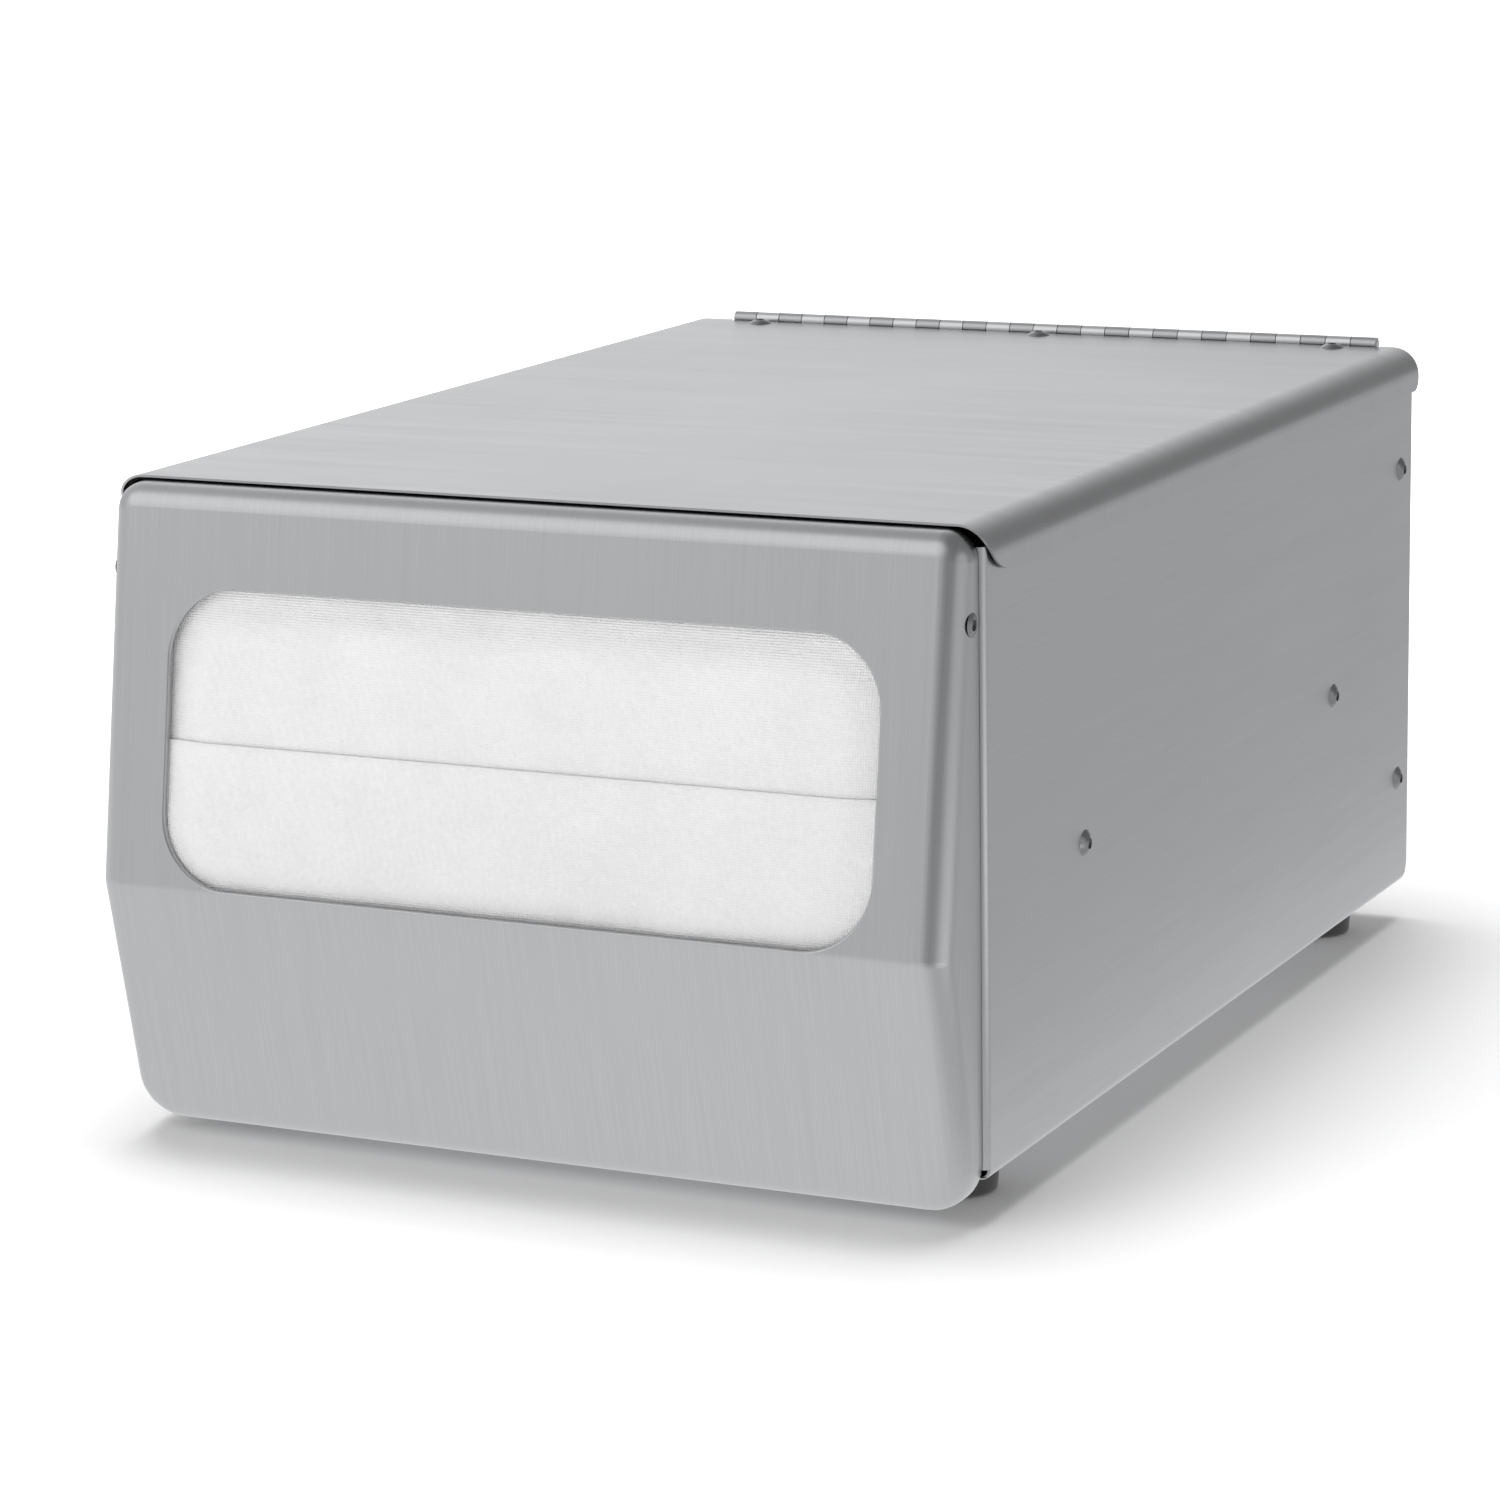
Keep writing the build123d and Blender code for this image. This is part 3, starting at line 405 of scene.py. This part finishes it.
def napkin_stack():
    """The stack: folded napkins on edge, bent like the face at the front and flat at the pusher."""
    rng = random.Random(7)
    rear = (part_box("napkin_stack")[1].y / MM) - WALL_Y
    start_inset = NAPKIN_INSET + 2 * PLY + STACK_GAP
    verts, faces = [], []
    xs = [-1.0, -0.985, -0.6, -0.2, 0.2, 0.6, 0.985, 1.0]
    for n in range(LEAVES):
        t0, t1 = n / LEAVES, (n + 0.93) / LEAVES
        half = NAPKIN_HALF - rng.uniform(0.0, 1.1)
        top = NAPKIN_HIGH - rng.uniform(0.0, 1.8)
        low = NAPKIN_LOW + rng.uniform(0.0, 0.2)
        sway = rng.uniform(-0.35, 0.35)
        ring = leaf_ring(low, top)
        base = len(verts)
        for x in xs:
            pinch = 0.35 if abs(x) == 1.0 else 0.0
            for z, w in ring:
                w = w + (0.5 - w) * pinch
                t = t0 + (t1 - t0) * w
                face = front_y(z, start_inset)
                y = face + (rear - face) * t
                wave = sway * math.sin(2.2 * x + n) * (0.2 + 0.8 * (z - low) / (top - low))
                lift = 0.3 * math.sin(3.1 * x + 1.7 * n) if z > top - 1 else 0.0
                y = min(max(y + wave * 0.5, face), rear)
                verts.append(to_row(x * half, y, min(z + lift - 0.3, NAPKIN_HIGH)))
        size = len(ring)
        for j in range(len(xs) - 1):
            for k in range(size):
                a = base + j * size + k
                b = base + j * size + (k + 1) % size
                faces.append((a, b, b + size, a + size))
        faces.append(tuple(base + k for k in reversed(range(size))))
        faces.append(tuple(base + (len(xs) - 1) * size + k for k in range(size)))
    obj = new_piece("tissue_stack", verts, faces, TISSUE)
    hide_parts("napkin_stack")
    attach(obj, "housing")
    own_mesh(obj)


ANCHOR_RADIUS = 1.3                        # hole for the rivet at the strip's end


def strip_band():
    """The flat run of the spring, which shortens as the coil winds it up."""
    low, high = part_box("spring_strip")
    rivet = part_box("strip_anchor_rivet")
    hole = (rivet[0] + rivet[1]) / 2
    radius = ANCHOR_RADIUS * MM
    verts, faces = [], []
    ring = 24
    # a square frame round the rivet's hole, then the band
    x0, x1 = low.x, high.x
    y0, y1, y2 = low.y, hole.y * 2 - low.y, high.y
    outline = []
    for k in range(ring):
        a = 2 * math.pi * k / ring + math.pi / 4
        c, s = math.cos(a), math.sin(a)
        m = max(abs(c), abs(s))
        outline.append((hole.x + (x1 - x0) / 2 * c / m, hole.y + (y1 - y0) / 2 * s / m))
    for z in (low.z, high.z):
        for k in range(ring):
            a = 2 * math.pi * k / ring + math.pi / 4
            verts.append((hole.x + radius * math.cos(a), hole.y + radius * math.sin(a), z))
        verts += [(x, y, z) for x, y in outline]
    per = 2 * ring
    for k in range(ring):
        n = (k + 1) % ring
        faces.append((per + k, per + ring + k, per + ring + n, per + n))
        faces.append((k, n, ring + n, ring + k))
        faces.append((k, per + k, per + n, n))
    first = len(verts)
    rows = 24
    for z in (low.z, high.z):
        for r in range(rows + 1):
            y = y1 + (y2 - y1) * r / rows
            verts += [(x0, y, z), (x1, y, z)]
    side = 2 * (rows + 1)
    for r in range(rows):
        a = first + 2 * r
        faces.append((a, a + 2, a + 3, a + 1))
        faces.append((a + side, a + side + 1, a + side + 3, a + side + 2))
        faces.append((a, a + side, a + side + 2, a + 2))
        faces.append((a + 1, a + 3, a + side + 3, a + side + 1))
    end = first + 2 * rows
    faces.append((end, end + side, end + side + 1, end + 1))
    obj = new_piece("spring_band", verts, faces,
                    brushed("band_steel", 0.34, 0.26, "Y", "X", grain=0.8), smooth=False)
    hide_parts("spring_strip")
    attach(obj, "housing")
    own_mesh(obj)


front_napkin()
napkin_stack()
strip_band()


# ---- Floor, light and camera ----
FLOOR_HALF = 14.0
FLOOR_TONE = (0.895, 0.905)
CAMERA_PLACE = (0.446, -0.9641, 0.2948)
CAMERA_AZIMUTH = 25.49                     # degrees, from facing the window towards its right side
CAMERA_ELEVATION = 12.283
CAMERA_ROLL = -1.0
CAMERA_LENS = 115.27

ROOM = 0.3                                 # what lights the matt pieces from all round
BACKDROP = 1.2                             # what the camera sees behind the floor
STUDIO_BASE = 0.31
# what the steel mirrors, each with its direction, the cosines where it starts and is full, and its
# radiance: left wall, rear wall, soft box in front and above, right wall, dark upper right
STUDIO = [((-1, 0, 0), 0.0, 0.6, 0.44),
          ((-0.42, 0.88, 0.25), 0.80, 0.95, 0.47),
          ((-0.397, -0.681, 0.616), 0.81, 0.91, 0.68),
          ((1, -0.15, 0.05), 0.80, 0.97, 0.45),
          ((0.7, 0.2, 0.7), 0.3, 0.8, -0.02)]
# painted reflection of the floor, seen only by the steel: its radiance at the left and at the right
MIRROR_GLOW_LEFT, MIRROR_GLOW_RIGHT = 1.07, 0.66
# brighter and darker patches of that painted reflection: centre, inner and outer radius, radiance
MIRROR_GLOW_PATCHES = [((0.42, -0.2, 0), 0.1, 0.24, 0.9),
                 ((0.16, -0.48, 0), 0.08, 0.2, -0.3),
                 ((-0.5, -1.3, 0), 0.5, 1.1, -0.35)]


def make_floor():
    """A white floor that glows brighter outward, painted light so that it meets the backdrop unseen; the
    steel sees a painted reflection of it instead.
    """
    size = FLOOR_HALF
    mesh = bpy.data.meshes.new("studio_floor")
    mesh.from_pydata([(-size, -size, 0), (size, -size, 0), (size, size, 0), (-size, size, 0)], [],
                     [(0, 1, 2, 3)])
    obj = bpy.data.objects.new("studio_floor", mesh)
    bpy.context.scene.collection.objects.link(obj)
    s = Shader("studio_floor")
    grain = s.noise(s.coord, 900.0, 2.0)
    s.link(s.color(s.remap(grain, *FLOOR_TONE), (1, 1, 1)), s.bsdf.inputs["Base Color"])
    s.bsdf.inputs["Roughness"].default_value = 0.9
    s.bsdf.inputs["Specular IOR Level"].default_value = 0.1
    # the floor glows, from 0.04 at 0.14 m from the centre up to 1.15 at 0.75 m: painted light that
    # whitens the floor away from the part so that it has no horizon, while the floor round the part keeps
    # its shadow dark
    far = s.add("ShaderNodeVectorMath", operation="LENGTH")
    s.link(s.coord, far.inputs[0])
    s.bsdf.inputs["Emission Color"].default_value = (1, 1, 1, 1)
    s.link(s.remap(far.outputs["Value"], 0.04, 1.15, 0.14, 0.75), s.bsdf.inputs["Emission Strength"])
    # for reflections only, the floor glows brighter on the left and dimmer on the right, with the patches
    # added: painted reflection that the steel mirrors in place of the lit floor
    glow = s.add("ShaderNodeEmission")
    level = s.remap(s.xyz()[0], MIRROR_GLOW_LEFT, MIRROR_GLOW_RIGHT, 0.08, 0.17)
    for centre, inner, outer, amount in MIRROR_GLOW_PATCHES:
        away = s.add("ShaderNodeVectorMath", operation="DISTANCE")
        s.link(s.coord, away.inputs[0])
        away.inputs[1].default_value = centre
        level = s.math("ADD", level, s.remap(away.outputs["Value"], amount, 0.0, inner, outer))
    s.link(level, glow.inputs["Strength"])
    mix = s.add("ShaderNodeMixShader")
    s.link(s.add("ShaderNodeLightPath").outputs["Is Glossy Ray"], mix.inputs[0])
    s.link(s.bsdf.outputs[0], mix.inputs[1])
    s.link(glow.outputs[0], mix.inputs[2])
    s.link(mix.outputs[0], s.out.inputs[0])
    mesh.materials.append(s.mat)


def area_light(name, place, aim, size, watts):
    """A soft box that lights the matt pieces and the floor, and that the steel doesn't mirror."""
    data = bpy.data.lights.new(name, "AREA")
    data.shape = "RECTANGLE"
    data.size, data.size_y = size
    data.energy = watts
    obj = bpy.data.objects.new(name, data)
    obj.location = place
    obj.rotation_euler = (Vector(aim) - Vector(place)).to_track_quat("-Z", "Y").to_euler()
    obj.visible_glossy = False
    bpy.context.scene.collection.objects.link(obj)


def make_world():
    """A white room. The steel mirrors a studio: light walls to the left, a large soft box in
    front and above, and a darker side to the right."""
    world = bpy.data.worlds.new("studio")
    world.use_nodes = True
    tree = world.node_tree
    back = tree.nodes["Background"]
    back.inputs[0].default_value = (1, 1, 1, 1)

    def value(op, a, b):
        node = tree.nodes.new("ShaderNodeMath")
        node.operation = op
        for socket, item in zip(node.inputs, (a, b)):
            if isinstance(item, bpy.types.NodeSocket):
                tree.links.new(item, socket)
            else:
                socket.default_value = item
        return node.outputs[0]

    def patch(direction, start, full, amount):
        """Radiance that rises smoothly to amount round a direction."""
        dot = tree.nodes.new("ShaderNodeVectorMath")
        dot.operation = "DOT_PRODUCT"
        tree.links.new(coord, dot.inputs[0])
        dot.inputs[1].default_value = Vector(direction).normalized()
        ease = tree.nodes.new("ShaderNodeMapRange")
        ease.interpolation_type = "SMOOTHSTEP"
        tree.links.new(dot.outputs["Value"], ease.inputs["Value"])
        for key, v in (("From Min", start), ("From Max", full), ("To Min", 0.0), ("To Max", amount)):
            ease.inputs[key].default_value = v
        return ease.outputs[0]

    coord = tree.nodes.new("ShaderNodeTexCoord").outputs["Generated"]
    path = tree.nodes.new("ShaderNodeLightPath")
    studio = STUDIO_BASE
    for item in STUDIO:
        studio = value("ADD", studio, patch(*item))
    glossy = value("MULTIPLY", path.outputs["Is Glossy Ray"], value("SUBTRACT", studio, ROOM))
    seen = value("MULTIPLY", path.outputs["Is Camera Ray"], BACKDROP - ROOM)
    tree.links.new(value("ADD", value("ADD", glossy, seen), ROOM), back.inputs[1])
    bpy.context.scene.world = world


def make_camera():
    """The camera, to the right of the window and a little above it."""
    data = bpy.data.cameras.new("camera")
    data.sensor_width = 36.0
    data.lens = CAMERA_LENS
    data.clip_end = 60.0
    obj = bpy.data.objects.new("camera", data)
    turn = Matrix.Rotation(math.radians(CAMERA_AZIMUTH), 4, "Z")
    turn = turn @ Matrix.Rotation(math.radians(90.0 - CAMERA_ELEVATION), 4, "X")
    turn = turn @ Matrix.Rotation(math.radians(CAMERA_ROLL), 4, "Z")
    obj.matrix_world = Matrix.Translation(Vector(CAMERA_PLACE)) @ turn
    bpy.context.scene.collection.objects.link(obj)
    bpy.context.scene.camera = obj


make_floor()
make_world()
area_light("key", (-0.15, 0.2, 2.2), (0, 0, 0.05), (1.3, 1.3), 40.0)
area_light("fill", (-0.5, -1.1, 0.8), (0, -0.1, 0.06), (1.2, 1.2), 6.2)
make_camera()
bpy.context.scene.view_settings.view_transform = "Standard"
